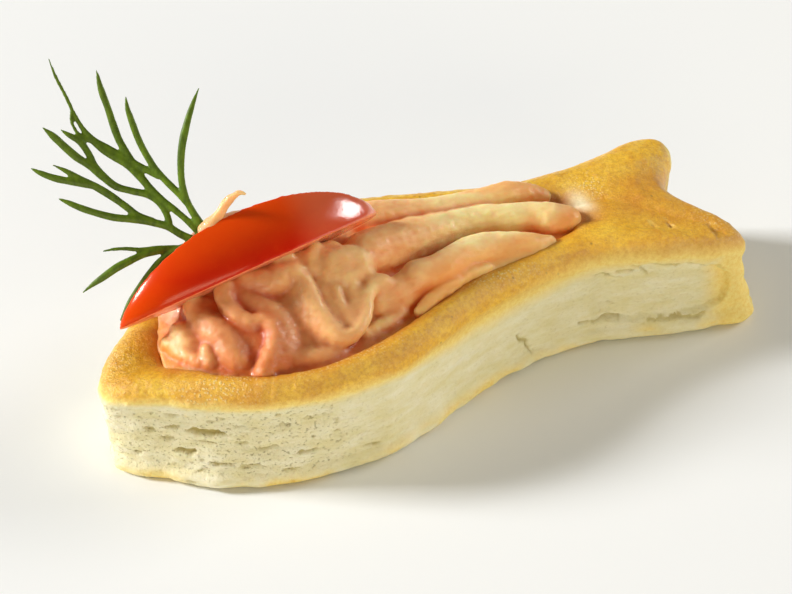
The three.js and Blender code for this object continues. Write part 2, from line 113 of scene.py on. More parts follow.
def add_lights():
    for name, (azimuth, elevation, width, height, power, colour) in LIGHTS.items():
        lamp = bpy.data.lights.new(name, "AREA")
        lamp.shape = "RECTANGLE"
        lamp.size, lamp.size_y = width * MM, height * MM
        lamp.energy = power
        lamp.color = colour
        aimed(linked(name, lamp), azimuth, elevation, LIGHT_DISTANCE, Vector((0, 0, 0)))
    world = bpy.data.worlds.new("studio")
    world.use_nodes = True
    sky = world.node_tree.nodes["Background"]
    sky.inputs["Color"].default_value = WORLD_COLOUR
    sky.inputs["Strength"].default_value = WORLD_STRENGTH
    bpy.context.scene.world = world
    bpy.context.scene.view_settings.view_transform = "Standard"


# ---- Noise ----

HASH_FACTORS = (73856093, 19349663, 83492791)
HASH_SEED = 2654435
HASH_MIX = 1274126177
HASH_RANGE = 2**24
CORNERS = list(itertools.product((0, 1), repeat=3))
CELLS_AROUND = list(itertools.product((-1, 0, 1), repeat=3))


def drawn(cells, seed):
    """A repeatable draw from 0 to 1 for each cell of whole numbers."""
    whole = cells.astype(np.int64)
    mixed = (whole * HASH_FACTORS).sum(-1) ^ (seed * HASH_SEED)
    mixed = ((mixed ^ (mixed >> 13)) * HASH_MIX) & 0x7FFFFFFFFFFF
    return ((mixed ^ (mixed >> 17)) % HASH_RANGE) / HASH_RANGE


def noise(points, size, seed=0):
    """Smooth noise from -1 to 1 whose lumps have a size, one for all axes or one for each."""
    scaled = points / np.asarray(size)
    cell = np.floor(scaled)
    share = scaled - cell
    share = share * share * (3 - 2 * share)
    total = 0
    for corner in CORNERS:
        weight = np.where(corner, share, 1 - share).prod(-1)
        total = total + weight * drawn(cell + corner, seed)
    return total * 2 - 1


def rough_noise(points, size, seed=0, layers=3):
    """Noise with finer and weaker noise on it."""
    total = 0
    for layer in range(layers):
        total = total + noise(points, np.asarray(size) / 2**layer, seed + layer) / 2**layer
    return total / 2


def scattered(points, size, seed):
    """How far, in cells, the nearest of scattered spots is, and that spot's own draw."""
    scaled = points / np.asarray(size)
    cell = np.floor(scaled)
    nearest = np.full(len(points), np.inf)
    draw = np.zeros(len(points))
    for around in CELLS_AROUND:
        other = cell + around
        spot = other + np.stack([drawn(other, seed + axis) for axis in range(3)], -1)
        away = np.linalg.norm(scaled - spot, axis=-1)
        closer = away < nearest
        nearest = np.where(closer, away, nearest)
        draw = np.where(closer, drawn(other, seed + 3), draw)
    return nearest, draw


def smoothstep(low, high, value):
    share = np.clip((value - low) / (high - low), 0, 1)
    return share * share * (3 - 2 * share)


# ---- Skins: closed surfaces as points and faces ----


def unit(vectors):
    return vectors / np.maximum(np.linalg.norm(vectors, axis=-1, keepdims=True), 1e-9)


def curve_through(rows, step):
    """Points a step apart on a smooth curve through the rows, whose first three are x, y, z."""
    rows = np.asarray(rows, float)
    lengths = np.linalg.norm(np.diff(rows[:, :3], axis=0), axis=1)
    at = np.concatenate([[0], np.cumsum(lengths)])
    slopes = np.gradient(rows, at, axis=0)
    where = np.linspace(0, at[-1], max(4, round(at[-1] / step)))
    i = np.clip(np.searchsorted(at, where, "right") - 1, 0, len(lengths) - 1)
    gap = lengths[i][:, None]
    t = ((where - at[i]) / lengths[i])[:, None]
    ahead, behind = t * t * (3 - 2 * t), (1 - t) ** 2 * (1 + 2 * t)
    leave, arrive = t * (1 - t) ** 2, t * t * (t - 1)
    return behind * rows[i] + ahead * rows[i + 1] + gap * (leave * slopes[i] + arrive * slopes[i + 1])


def lofted(rings, start, end):
    """A closed surface through rings of equal length, from a start point to an end point."""
    count, sides = rings.shape[:2]
    points = np.concatenate([[start], rings.reshape(-1, 3), [end]])
    faces = []
    for i in range(sides):
        j = (i + 1) % sides
        faces.append((0, 1 + j, 1 + i))
        for ring in range(count - 1):
            a, b = 1 + ring * sides, 1 + (ring + 1) * sides
            faces.append((a + i, a + j, b + j, b + i))
        last = 1 + (count - 1) * sides
        faces.append((last + i, last + j, len(points) - 1))
    return points, faces


TUBE_END_RINGS = 5


def tube(rows, facing, flatness, step, sides):
    """A tube with round ends along rows of x, y, z and radius. Flatness is its thickness along
    the facing direction as a share of its width."""
    line = curve_through(rows, step)
    middle, radius = line[:, :3], line[:, 3]
    along = unit(np.gradient(middle, axis=0))
    across = unit(np.cross(along, facing))
    over = np.cross(across, along)
    quarter = np.linspace(0, math.pi / 2, TUBE_END_RINGS + 2)[1:-1]
    shares = np.concatenate([np.sin(quarter), np.ones(len(middle)), np.cos(quarter)])
    shifts = np.concatenate([-np.cos(quarter), np.zeros(len(middle)), np.sin(quarter)])
    first, last = [0] * TUBE_END_RINGS, [-1] * TUBE_END_RINGS
    which = np.concatenate([first, range(len(middle)), last]).astype(int)
    angle = np.linspace(0, 2 * math.pi, sides, endpoint=False)
    wide = (shares * radius[which])[:, None]
    centre = middle[which] + along[which] * (shifts * radius[which])[:, None]
    rings = (
        centre[:, None]
        + across[which][:, None] * (wide * np.cos(angle))[..., None]
        + over[which][:, None] * (wide * np.sin(angle) * flatness)[..., None]
    )
    return lofted(rings, middle[0] - along[0] * radius[0], middle[-1] + along[-1] * radius[-1])


def node_skin(node):
    """The surface of a CAD node, in millimetres."""
    mesh = bmesh.new()
    mesh.from_mesh(frame["nodes"][node].data)
    bmesh.ops.remove_doubles(mesh, verts=mesh.verts, dist=1e-6)
    points = np.array([vert.co[:] for vert in mesh.verts]) / MM
    faces = [[vert.index for vert in face.verts] for face in mesh.faces]
    mesh.free()
    return points, faces


def outline(node):
    """Stations along a CAD node: x, and the lowest and highest y there."""
    points, _ = node_skin(node)
    station = np.floor(points[:, 0])
    x = np.unique(station)
    near = [points[station == each, 1].min() for each in x]
    far = [points[station == each, 1].max() for each in x]
    return x + 0.5, near, far


def out_of(node, points):
    """How far points are outside a CAD node, as seen from above."""
    x, y = points[..., 0], points[..., 1]
    station, near, far = outline(node)
    near, far = np.interp(x, station, near), np.interp(x, station, far)
    return np.max([near - y, y - far, station[0] - x, x - station[-1]], axis=0)


def modified(shell):
    """The points and faces of an object with its modifiers on; the object is removed."""
    graph = bpy.context.evaluated_depsgraph_get()
    made = bpy.data.meshes.new_from_object(shell.evaluated_get(graph))
    points = np.empty(len(made.vertices) * 3)
    made.vertices.foreach_get("co", points)
    corners = np.empty(len(made.loops), int)
    made.loops.foreach_get("vertex_index", corners)
    faces = corners.reshape(len(made.polygons), -1)
    bpy.data.batch_remove([shell.data, made])
    return points.reshape(-1, 3), faces


def thinned(points, faces, hidden, ratio):
    """The same skin with fewer faces where it is hidden."""
    mesh = bpy.data.meshes.new("thinning")
    mesh.from_pydata(points, [], faces)
    shell = linked("thinning", mesh)
    shell.vertex_groups.new(name="hidden").add(np.flatnonzero(hidden).tolist(), 1.0, "REPLACE")
    fewer = shell.modifiers.new("fewer", "DECIMATE")
    fewer.ratio = ratio
    fewer.vertex_group = "hidden"
    fewer.use_collapse_triangulate = True
    return modified(shell)


def fused(skins, voxel):
    """One even skin round all the skins, with faces of four corners."""
    mesh = bpy.data.meshes.new("fusing")
    starts = np.cumsum([0] + [len(points) for points, _ in skins])
    faces = [[i + at for i in face] for (_, own), at in zip(skins, starts) for face in own]
    mesh.from_pydata(np.concatenate([points for points, _ in skins]), [], faces)
    shell = linked("fusing", mesh)
    voxels = shell.modifiers.new("voxels", "REMESH")
    voxels.mode = "VOXEL"
    voxels.voxel_size = voxel
    return modified(shell)


def around(values, faces):
    """The mean of each point's neighbours."""
    here = faces.ravel()
    there = np.roll(faces, -1, axis=1).ravel()
    count = np.bincount(here, minlength=len(values))
    sums = [np.bincount(here, values[there, axis], len(values)) for axis in range(3)]
    return np.stack(sums, -1) / count[:, None]


def smoothed(points, faces, times, share=0.5):
    for _ in range(times):
        points = points + share * (around(points, faces) - points)
    return points


def normals_of(points, faces):
    corners = points[faces]
    flat = np.cross(corners[:, 2] - corners[:, 0], corners[:, -1] - corners[:, 1])
    flat = np.repeat(flat, faces.shape[1], 0)
    sums = [np.bincount(faces.ravel(), flat[:, axis], len(points)) for axis in range(3)]
    return unit(np.stack(sums, -1))


# The furthest that a field notes, and how far past a shape it is worked out.
FAR = 9.0
FIELD_MARGIN = 1.5


class Field:
    """How far each point of a grid is from the skin of a soft shape, less than zero in it."""

    def __init__(self, low, high, cell):
        self.low, self.cell = np.array(low, float), cell
        self.far = np.full(np.ceil((np.array(high) - self.low) / cell).astype(int), FAR)

    def part(self, low, high):
        """The grid's slices within a box, and the points there."""
        first = np.maximum((low - self.low) / self.cell, 0).astype(int)
        last = np.minimum((high - self.low) / self.cell + 2, self.far.shape).astype(int)
        axes = [self.low[i] + self.cell * np.arange(first[i], last[i]) for i in range(3)]
        return tuple(map(slice, first, last)), np.stack(np.meshgrid(*axes, indexing="ij"), -1)

    def join(self, part, far, blend):
        """Joins a shape on, with a hollow as wide as the blend along the seam."""
        old = self.far[part]
        share = np.clip(0.5 + 0.5 * (old - far) / blend, 0, 1)
        self.far[part] = old + (far - old) * share - blend * share * (1 - share)

    def strand(self, rows, blend, step=0.4):
        """Joins on a strand along rows of x, y, z and radius."""
        line = curve_through(rows, step)
        reach = line[:, 3:].max() + blend + FIELD_MARGIN
        whole, _ = self.part(line[:, :3].min(0) - reach, line[:, :3].max(0) + reach)
        far = np.full(self.far.shape, np.inf)
        for a, b in zip(line[:-1], line[1:]):
            ends = np.array([a[:3], b[:3]])
            part, points = self.part(ends.min(0) - reach, ends.max(0) + reach)
            way = b[:3] - a[:3]
            share = np.clip((points - a[:3]) @ way / (way @ way), 0, 1)
            away = np.linalg.norm(points - a[:3] - share[..., None] * way, axis=-1)
            far[part] = np.minimum(far[part], away - a[3] - share * (b[3] - a[3]))
        self.join(whole, np.minimum(far[whole], FAR), blend)

    def ball(self, centre, radii, blend):
        centre, radii = np.array(centre), np.array(radii)
        reach = radii + blend + FIELD_MARGIN
        part, points = self.part(centre - reach, centre + reach)
        size = np.linalg.norm((points - centre) / radii, axis=-1)
        self.join(part, (size - 1) * radii.min(), blend)

    def skin(self):
        """The skin as points and faces of four corners."""
        shape, spots, faces = self.far.shape, [], []
        for axis in range(3):
            ahead = np.roll(self.far, -1, axis)
            at = np.argwhere((self.far < 0) != (ahead < 0))
            start, end = self.far[tuple(at.T)], ahead[tuple(at.T)]
            spot = at.astype(float)
            spot[:, axis] += start / (start - end)
            across, over = np.eye(3, dtype=int)[[(axis + 1) % 3, (axis + 2) % 3]]
            cells = [at, at - across, at - across - over, at - over]
            face = np.stack([np.ravel_multi_index(cell.T, shape) for cell in cells], -1)
            faces.append(np.where((start < 0)[:, None], face, face[:, ::-1]))
            spots.append(np.repeat(spot, 4, 0))
        cells, corners = np.unique(np.concatenate(faces), return_inverse=True)
        corners = corners.ravel()
        spots = np.concatenate(spots)
        points = [np.bincount(corners, spots[:, i]) / np.bincount(corners) for i in range(3)]
        return self.low + np.stack(points, -1) * self.cell, corners.reshape(-1, 4)


def add_piece(name, node, slot, material, points, faces, **values):
    """The piece that stands for a CAD node, with a value at each point for its material."""
    mesh = bpy.data.meshes.new(name)
    mesh.from_pydata(points * MM, [], faces)
    mesh.polygons.foreach_set("use_smooth", [True] * len(mesh.polygons))
    for value, numbers in values.items():
        mesh.attributes.new(value, "FLOAT", "POINT").data.foreach_set("value", numbers)
    mesh.materials.append(material)
    piece = linked(name, mesh)
    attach(piece, "root")
    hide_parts(node)


# ---- Material tools ----


class Surface:
    """A material under construction."""

    def __init__(self, name):
        self.material = bpy.data.materials.new(name)
        self.material.use_nodes = True
        self.tree = self.material.node_tree
        self.shader = self.tree.nodes["Principled BSDF"]

    def node(self, kind, inputs, **settings):
        made = self.tree.nodes.new(kind)
        for setting, value in settings.items():
            setattr(made, setting, value)
        for socket, value in inputs.items():
            self.give(made.inputs[socket], value)
        return made

    def give(self, socket, value):
        if isinstance(value, bpy.types.NodeSocket):
            self.tree.links.new(value, socket)
        else:
            socket.default_value = value

    def set(self, **inputs):
        for name, value in inputs.items():
            self.give(self.shader.inputs[name.replace("_", " ")], value)

    def value(self, name):
        return self.node("ShaderNodeAttribute", {}, attribute_name=name).outputs["Fac"]

    def places(self, size=(1, 1, 1)):
        """Places on the object, counted in a size in millimetres along each axis."""
        where = self.node("ShaderNodeTexCoord", {}).outputs["Object"]
        scale = [1 / (MM * each) for each in size]
        return self.node("ShaderNodeMapping", {"Vector": where, "Scale": scale}).outputs["Vector"]

    def noise(self, size, detail=3.0, roughness=0.55):
        inputs = {
            "Vector": self.places(size),
            "Scale": 1.0,
            "Detail": detail,
            "Roughness": roughness,
        }
        return self.node("ShaderNodeTexNoise", inputs).outputs["Fac"]

    def spots(self, size, edge):
        """1 inside small round spots, falling to 0 at an edge given as a share of a cell."""
        cells = self.node("ShaderNodeTexVoronoi", {"Vector": self.places(size), "Scale": 1.0})
        return self.stretch(cells.outputs["Distance"], edge, 0.0)

    def stretch(self, value, low, high, start=0.0, end=1.0):
        inputs = {"Value": value, "From Min": low, "From Max": high, "To Min": start, "To Max": end}
        return self.node("ShaderNodeMapRange", inputs, clamp=True).outputs["Result"]

    def times(self, a, b):
        return self.node("ShaderNodeMath", {0: a, 1: b}, operation="MULTIPLY").outputs["Value"]

    def mix(self, share, a, b):
        inputs = {"Factor": share, "A": a, "B": b}
        made = self.tree.nodes.new("ShaderNodeMix")
        made.data_type = "RGBA"
        for socket in made.inputs:
            if socket.name in inputs and socket.type in ("RGBA", "VALUE"):
                if socket.name == "Factor" or socket.type == "RGBA":
                    self.give(socket, inputs[socket.name])
        return next(out for out in made.outputs if out.type == "RGBA")

    def bump(self, height, depth, strength=1.0, under=None):
        inputs = {"Height": height, "Distance": depth * MM, "Strength": strength}
        if under:
            inputs["Normal"] = under
        return self.node("ShaderNodeBump", inputs).outputs["Normal"]


def colour(red, green, blue):
    """A colour as the eye reads it on a screen, from 0 to 255, in linear light."""
    return (*(((c / 255 + 0.055) / 1.055) ** 2.4 for c in (red, green, blue)), 1.0)


# ---- Pastry case ----

PASTRY_VOXEL = 0.25
PASTRY_SMOOTHINGS = 9
HIDDEN_RATIO = 0.66
COVERED_BELOW = 10.5
# Only what lies above this height can be the golden top.
TOP_ABOVE = 9.0
# Places this far out of the cream, as seen from above, are on the outside of the case.
WALL_INSIDE = 1.5
# How far the crust leans in over the hollow's ends at the head and at the tail.
HEAD_LEAN, TAIL_LEAN = 1.2, 1.4
# The tail's top is nearly flat: where the case has a groove across it, x and y along the groove,
# the top is made up to this much under the rim.
GROOVE = [(24.0, -0.4), (28.0, -2.2), (32.0, -4.9), (36.0, -7.4)]
TAIL_DIP = 0.15
# Along the fish, the rim's height on the near side and on the far side.
RIM_NEAR = [(-40.3, 12.3), (-23.5, 13.4), (-3.5, 14.0), (26.0, 14.0), (36.8, 13.0), (42.0, 12.2)]
RIM_FAR = [(-40.3, 12.3), (-20.0, 13.4), (4.0, 14.0), (25.5, 14.2), (40.0, 14.5)]
# Along the near side, the heights where the gold ends and where the pale side starts.
GOLD_ENDS = [
    (-40, 11.6), (-28, 11.7), (-15, 12.1), (0, 11.9), (8, 11.8), (14, 12.8), (20, 13.4), (25, 13.6),
    (32, 13.3), (37, 12.6), (42, 11.8),
]
PALE_STARTS = [
    (-40, 10.1), (-28, 10.1), (-15, 9.8), (-8, 9.8), (0, 8.4), (8, 7.8), (14, 8.4), (19, 9.4),
    (24, 9.8), (29, 9.6), (32, 9.2), (37, 8.6), (42, 8.0),
]
FAR_GOLD_ENDS, FAR_PALE_STARTS = 1.1, 2.6
# The sunken panel on the near side of the tail: heights of its ragged top and of its foot.
PANEL_TOP = [
    (20.5, 10.6), (23.4, 9.5), (24.8, 8.9), (26.4, 9.6), (27.2, 10.5), (29.3, 10.4), (33, 9.8),
    (36.8, 8.7), (38, 7.6),
]
PANEL_FOOT = [(20.5, 3.4), (22.8, 2.9), (27, 2.6), (31, 2.5), (34.4, 2.9), (37, 3.4), (38, 5.0)]
PANEL_DEPTH = 0.85
# How deep a pore is, and the depth in the next list that counts as a full one.
PORE_DEPTH, FULL_SLIT = 0.5, 0.6
# Slits between the layers of the near side: x, height, half length, half height and depth.
SLITS = [
    (-30.7, 7.2, 2.4, 0.38, 0.9),
    (-32.6, 4.4, 1.1, 0.4, 0.8),
    (-29.9, 3.3, 1.9, 0.22, 0.6),
    (-26.6, 3.0, 1.6, 0.2, 0.5),
    (-20.2, 4.1, 1.3, 0.26, 0.6),
    (-36.1, 7.0, 0.7, 0.25, 0.5),
    (-34.0, 7.5, 0.8, 0.25, 0.5),
    (-27.4, 6.1, 0.9, 0.2, 0.4),
    (-24.6, 5.2, 1.0, 0.2, 0.4),
    (-34.6, 5.9, 0.7, 0.2, 0.4),
    (-31.0, 5.9, 1.2, 0.18, 0.4),
    (-33.6, 9.2, 0.9, 0.2, 0.4),
    (-29.4, 9.0, 0.7, 0.2, 0.3),
    (-12.4, 2.6, 1.4, 0.18, 0.4),
    (-22.4, 2.3, 1.1, 0.2, 0.4),
    (23.4, 5.0, 0.8, 0.14, 0.3),
    (31.0, 2.4, 2.8, 0.16, 0.5),
]
# Thin cracks in the near side: x and height along each.
CRACKS = [
    [(10.7, 5.2), (11.2, 4.4), (11.9, 3.7), (12.0, 3.0), (12.7, 2.0)],
    [(26.1, 10.7), (29.3, 10.4), (32.9, 9.8), (36.8, 8.7)],
    [(22.0, 9.8), (23.2, 10.0), (23.6, 9.2), (24.5, 9.0)],
    [(24.7, 10.0), (26.0, 9.9), (27.2, 9.6), (27.7, 8.8)],
    [(28.0, 2.5), (30.5, 2.3), (33.5, 2.2), (35.0, 2.5)],
    [(19.4, 3.6), (20.8, 3.3), (22.4, 3.3), (24.6, 3.0)],
]
# A painted highlight, a near-white patch on the glaze: x, y and how far it reaches along them.
GLOSSY_SPOT = (24.8, 2.4, 1.2, 2.1)
# Where pale dots are painted on the glaze as glints, a painted highlight: x, y and how far each place
# reaches along them.
SUGAR = [
    (-38.0, 2.0, 3.0, 4.5),
    (-30.0, -10.0, 7.0, 2.6),
    (-14.0, -12.0, 6.0, 1.2),
    (8.0, -6.5, 5.0, 1.0),
    (27.0, 4.5, 1.8, 2.2),
    (38.5, 18.0, 3.0, 5.0),
    (39.5, -2.0, 2.6, 6.5),
]


def along_fish(rows, x):
    return np.interp(x, *zip(*rows))


def rim_height(points):
    x, y = points[:, 0], points[:, 1]
    near, far = along_fish(RIM_NEAR, x), along_fish(RIM_FAR, x)
    return near + (far - near) * smoothstep(-6, 6, y)


def patch(points, x, y, reach_x, reach_y):
    """1 in the middle of a soft round patch, as seen from above, falling to 0 past its reach."""
    return np.exp(-(((points[:, 0] - x) / reach_x) ** 2) - ((points[:, 1] - y) / reach_y) ** 2)


def away_from(line, x, z):
    """How far places on the side are from a line on it."""
    nearest = np.full(len(x), np.inf)
    for a, b in zip(np.array(line)[:-1], np.array(line)[1:]):
        along = b - a
        share = np.clip(((x - a[0]) * along[0] + (z - a[1]) * along[1]) / (along @ along), 0, 1)
        off_x, off_z = x - a[0] - share * along[0], z - a[1] - share * along[1]
        nearest = np.minimum(nearest, np.hypot(off_x, off_z))
    return nearest


def pastry_material():
    look = Surface("puff_pastry")
    crust, bake, hollow = look.value("crust"), look.value("bake"), look.value("pore")
    wet, sugar, porous = look.value("wet"), look.value("sugar"), look.value("porous")
    grain = look.noise((0.55, 0.55, 0.55), 6.0, 0.75)
    patches = look.noise((4.0, 4.0, 4.0), 4.0, 0.6)
    crystals = look.spots((0.36, 0.36, 0.36), 0.44)
    specks = look.spots((2.6, 2.6, 2.6), 0.09)
    layers = look.noise((4.5, 4.5, 1.3), 5.0, 0.65)
    crumb = look.noise((0.5, 0.5, 0.3), 4.0, 0.7)
    holes = look.stretch(look.noise((0.42, 0.42, 0.26), 3.0, 0.6), 0.60, 0.68)
    pinholes = look.times(holes, porous)

    pale = look.mix(look.stretch(layers, 0.35, 0.65), colour(238, 231, 202), colour(228, 217, 168))
    pale = look.mix(look.stretch(crumb, 0.52, 0.75, 0.0, 0.35), pale, colour(210, 197, 144))
    # Painted shade: pinholes are darkened in colour as well as bumped in.
    pale = look.mix(look.times(pinholes, 0.55), pale, colour(172, 154, 92))
    # Painted shade: pores, slits, cracks and the tail panel's crevice are darkened in colour.
    pale = look.mix(look.stretch(hollow, 0.1, 1.0, 0.0, 0.75), pale, colour(178, 158, 82))
    yellow = look.mix(look.stretch(grain, 0.4, 0.65), colour(248, 224, 140), colour(238, 202, 104))
    light = look.mix(look.stretch(patches, 0.35, 0.65), colour(250, 206, 62), colour(238, 182, 32))
    gold = look.mix(look.stretch(bake, 0.0, 1.0), light, colour(198, 110, 0))
    gold = look.mix(look.stretch(grain, 0.42, 0.62, 0.0, 0.5), gold, colour(192, 112, 2))
    # Painted glints: pale dots of painted highlight on the glaze, strongest in the glitter patches.
    glint = look.times(crystals, sugar)
    gold = look.mix(look.times(glint, 0.9), gold, colour(255, 240, 176))
    gold = look.mix(look.times(specks, 0.7), gold, colour(96, 50, 14))
    # Painted highlight: the wet value lays a near-white patch on the glaze.
    gold = look.mix(wet, gold, colour(255, 238, 196))
    shade = look.mix(look.stretch(crust, 0.0, 0.5), pale, yellow)
    look.set(Base_Color=look.mix(look.stretch(crust, 0.5, 1.0), shade, gold))

    look.set(Roughness=look.stretch(crust, 0.3, 1.0, 0.8, 0.42))
    fine = look.bump(glint, 0.1, 0.9, look.bump(crumb, 0.12, 0.7))
    fine = look.bump(look.times(pinholes, -1.0), 0.2, 0.8, fine)
    rough = look.bump(grain, 0.2, 0.8, fine)
    look.set(Normal=rough, Coat_Normal=rough)
    look.set(Coat_Weight=look.times(look.stretch(crust, 0.6, 1.0), 0.35), Coat_Roughness=0.22)
    look.set(Subsurface_Weight=0.15, Subsurface_Radius=(1.0, 0.6, 0.3), Subsurface_Scale=1.2 * MM)
    return look.material


def crust_share(points, normals, near, hollow, edge):
    """0 on the pale layers, 0.5 on the yellow between and 1 on the golden top."""
    x, z = points[:, 0], points[:, 2]
    outer = hollow > WALL_INSIDE
    wobble = 0.5 * rough_noise(points, (3.5, 3.5, 2.0), 11)
    lobe = smoothstep(33, 37, x)
    far_rim = rim_height(points) - 0.8 * (1 - lobe)
    gold_ends = near * along_fish(GOLD_ENDS, x) + (1 - near) * (far_rim - FAR_GOLD_ENDS + 0.7 * lobe)
    pale_starts = near * along_fish(PALE_STARTS, x)
    pale_starts += (1 - near) * (far_rim - FAR_PALE_STARTS + 1.2 * lobe)
    crust = np.clip((z + wobble - pale_starts) / (gold_ends - pale_starts), 0, 1)
    crust = np.maximum(crust, smoothstep(0.7, 0.95, normals[:, 2]) * (z > TOP_ABOVE))
    crust = np.maximum(crust, smoothstep(2.2, 3.4, edge) * (z > TOP_ABOVE))
    crust = np.maximum(crust, 0.5 * smoothstep(34, 38, x) * near)
    crust = np.where(outer, crust, 1)
    foot = smoothstep(2.4, 0.8, z) * smoothstep(0.0, 0.7, rough_noise(points, (4, 4, 2), 21) + 0.25)
    foot = np.maximum(foot, smoothstep(38, 41, x) * smoothstep(9, 6, z) * 0.7)
    return np.maximum(crust, 0.5 * foot * outer)


def side_pores(points, near, head, side):
    """How deep each place of the side lies in a pore, a slit or a crack, which the material also
    paints as shade.
    """
    pore = 0.7 * smoothstep(0.34, 0.55, rough_noise(points, (1.5, 1.5, 0.45), 41)) * (0.2 + 0.8 * head)
    x = points[:, 0] + 0.6 * noise(points, 1.1, 43)
    z = points[:, 2] + (0.22 * noise(points, 1.1, 47) + 0.12 * noise(points, 0.5, 48))
    for at_x, at_z, length, height, depth in SLITS:
        off = ((x - at_x) / length) ** 2 + ((z - at_z) / height) ** 2
        pore = np.maximum(pore, near * depth / FULL_SLIT * smoothstep(1.0, 0.3, off))
    crack = np.min([away_from(line, x, z) for line in CRACKS], axis=0)
    return np.maximum(pore, near * 0.8 * smoothstep(0.28, 0.08, crack)) * side


def tail_panel(points, near, side):
    """1 in the sunken panel and 0 out of it, and the painted shade in the crevice along its edge."""
    x, z = points[:, 0], points[:, 2]
    ragged = z - along_fish(PANEL_TOP, x) + 0.3 * noise(points, (0.9, 0.9, 0.9), 53)
    lip = z - along_fish(PANEL_FOOT, x) + 0.3 * noise(points, (1.2, 1.2, 1.2), 54)
    panel = smoothstep(0.05, -0.2, ragged) * smoothstep(-0.1, 0.3, lip)
    panel *= smoothstep(20.5, 23.5, x) * smoothstep(38.4, 37.6, x) * near * side
    crevice = np.exp(-((ragged + 0.25) / 0.16) ** 2) + 0.35 * np.exp(-(((lip - 0.1) / 0.12) ** 2))
    return panel, crevice * panel * (0.55 + 0.45 * noise(points, (1.5, 1.5, 1.5), 59))


def add_pastry():
    points, faces = fused([node_skin("pastry_case")], PASTRY_VOXEL)
    points = smoothed(points, faces, PASTRY_SMOOTHINGS)
    covered = (out_of("cream", points) < 0.5) & (points[:, 2] < COVERED_BELOW)
    points, faces = thinned(points, faces, covered | (points[:, 2] < 0.1), HIDDEN_RATIO)
    normals = normals_of(points, faces)
    x, y, z = points.T
    below = rim_height(points) - z
    hollow, edge = out_of("cream", points), -out_of("pastry_case", points)
    outer = hollow > WALL_INSIDE
    side = smoothstep(2.0, 3.4, below) * smoothstep(0.8, 0.45, np.abs(normals[:, 2])) * outer
    near = smoothstep(2, -2, y)
    head = smoothstep(-12, -20, x) * near
    top = 1 - smoothstep(1.5, 4.0, below)
    crust = crust_share(points, normals, near, hollow, edge)
    pore = side_pores(points, near, head, side)
    panel, crevice = tail_panel(points, near, side)

    push = side * 0.06 * rough_noise(points, (7, 7, 0.9), 31)
    push += side * 0.16 * rough_noise(points, (5, 5, 4), 35)
    push += side * 0.06 * head * noise(points, (0.8, 0.8, 0.6), 37)
    push -= PORE_DEPTH * pore
    push -= panel * (PANEL_DEPTH + 0.25 * rough_noise(points, (2.2, 2.2, 0.9), 57))
    push += smoothstep(3.0, 1.2, z) * outer * 0.45 * rough_noise(points, (2.8, 2.8, 1.4), 51)
    push += top * (0.15 * rough_noise(points, 3.0, 61) + 0.08 * noise(points, 0.9, 67))
    bubble, size = scattered(points, 1.1, 71)
    push += top * 0.07 * smoothstep(0.5, 0.1, bubble) * size
    points = points + normals * push[:, None]
    lean = HEAD_LEAN * smoothstep(-28, -31, x)
    lean -= TAIL_LEAN * smoothstep(20.5, 24, x) * smoothstep(5.5, 3, y)
    points[:, 0] += lean * smoothstep(8.5, 11.5, z) * smoothstep(3.2, 0.5, hollow)
    flush = rim_height(points) - TAIL_DIP + 0.1 * rough_noise(points, 2.5, 91)
    flush -= 0.5 * smoothstep(3.0, 0.5, hollow)
    filled = smoothstep(3.6, 2.0, away_from(GROOVE, x, y)) * smoothstep(0.9, 2.4, edge)
    filled *= smoothstep(21.5, 23, x) * smoothstep(0.1, 0.6, hollow) * (z > TOP_ABOVE)
    points[:, 2] = np.maximum(points[:, 2], z + filled * (flush - z))
    points[:, 2] = np.maximum(points[:, 2], 0)

    bake = 0.12 + 0.6 * rough_noise(points, 5.0, 81)
    # Painted shade: on top of the browning, the crust darkens towards the cream's edge.
    bake += 0.9 * smoothstep(3.2, 0.3, hollow) + 0.25 * smoothstep(24, 31, x) * smoothstep(9, 3, y)
    bake -= 0.3 * smoothstep(30, 35, x) * smoothstep(2, 8, y)
    # Painted glints: where the pale dots of painted highlight go on the top.
    sugar = np.max([patch(points, *row) for row in SUGAR], axis=0)
    porous = (0.25 + 0.75 * head) * side * smoothstep(0.8, 2.5, z)
    add_piece(
        "puff_pastry_case", "pastry_case", "puff_pastry", pastry_material(), points, faces,
        crust=crust, bake=np.clip(bake, 0, 1), pore=np.clip(np.maximum(pore, crevice), 0, 1),
        # The wet value here is where the painted highlight patch goes.
        wet=patch(points, *GLOSSY_SPOT) * top, sugar=np.clip(0.12 + sugar, 0, 1) * top, porous=porous,
    )


# ---- Cream ----

CREAM_CELL = 0.2
CREAM_SMOOTHINGS = 3
# Painted light and shade: crests are painted paler and hollows darker. How often the skin is smoothed
# to find its level, and how far above it a crest is at its palest.
LEVEL_SMOOTHINGS, CREST_HEIGHT, CREST_MOST = 60, 1.3, 0.9
PEAK_BLEND = 0.8
CREAM_LOW, CREAM_HIGH = (-34, -15, 5.5), (26, 15, 29.5)
# The bed of cream that the strands lie on: its level along the fish at the hollow's edge, how
# much higher it is in the middle, its underside, and how far it spreads past the CAD cream,
# which stands clear of the case, with a flare up over the rim.
BED_LEVELS = [(-34, 11.4), (-30, 12.3), (-26, 12.7), (26, 12.6)]
BED_CROWN, BED_FOOT, BED_SPREAD, BED_FLARE = 0.5, 6.8, 0.55, 12.0
HEAP = [
    ((-19.0, 1.2, 9.8), (11.4, 11.4, 7.5)),
    ((-8.5, 0.8, 11.0), (8.0, 6.6, 6.0)),
    ((-19.0, 6.4, 14.0), (9.0, 5.0, 9.0)),
    ((-7.0, 5.6, 12.0), (9.0, 5.6, 6.0)),
]
HEAP_BLEND = 2.0
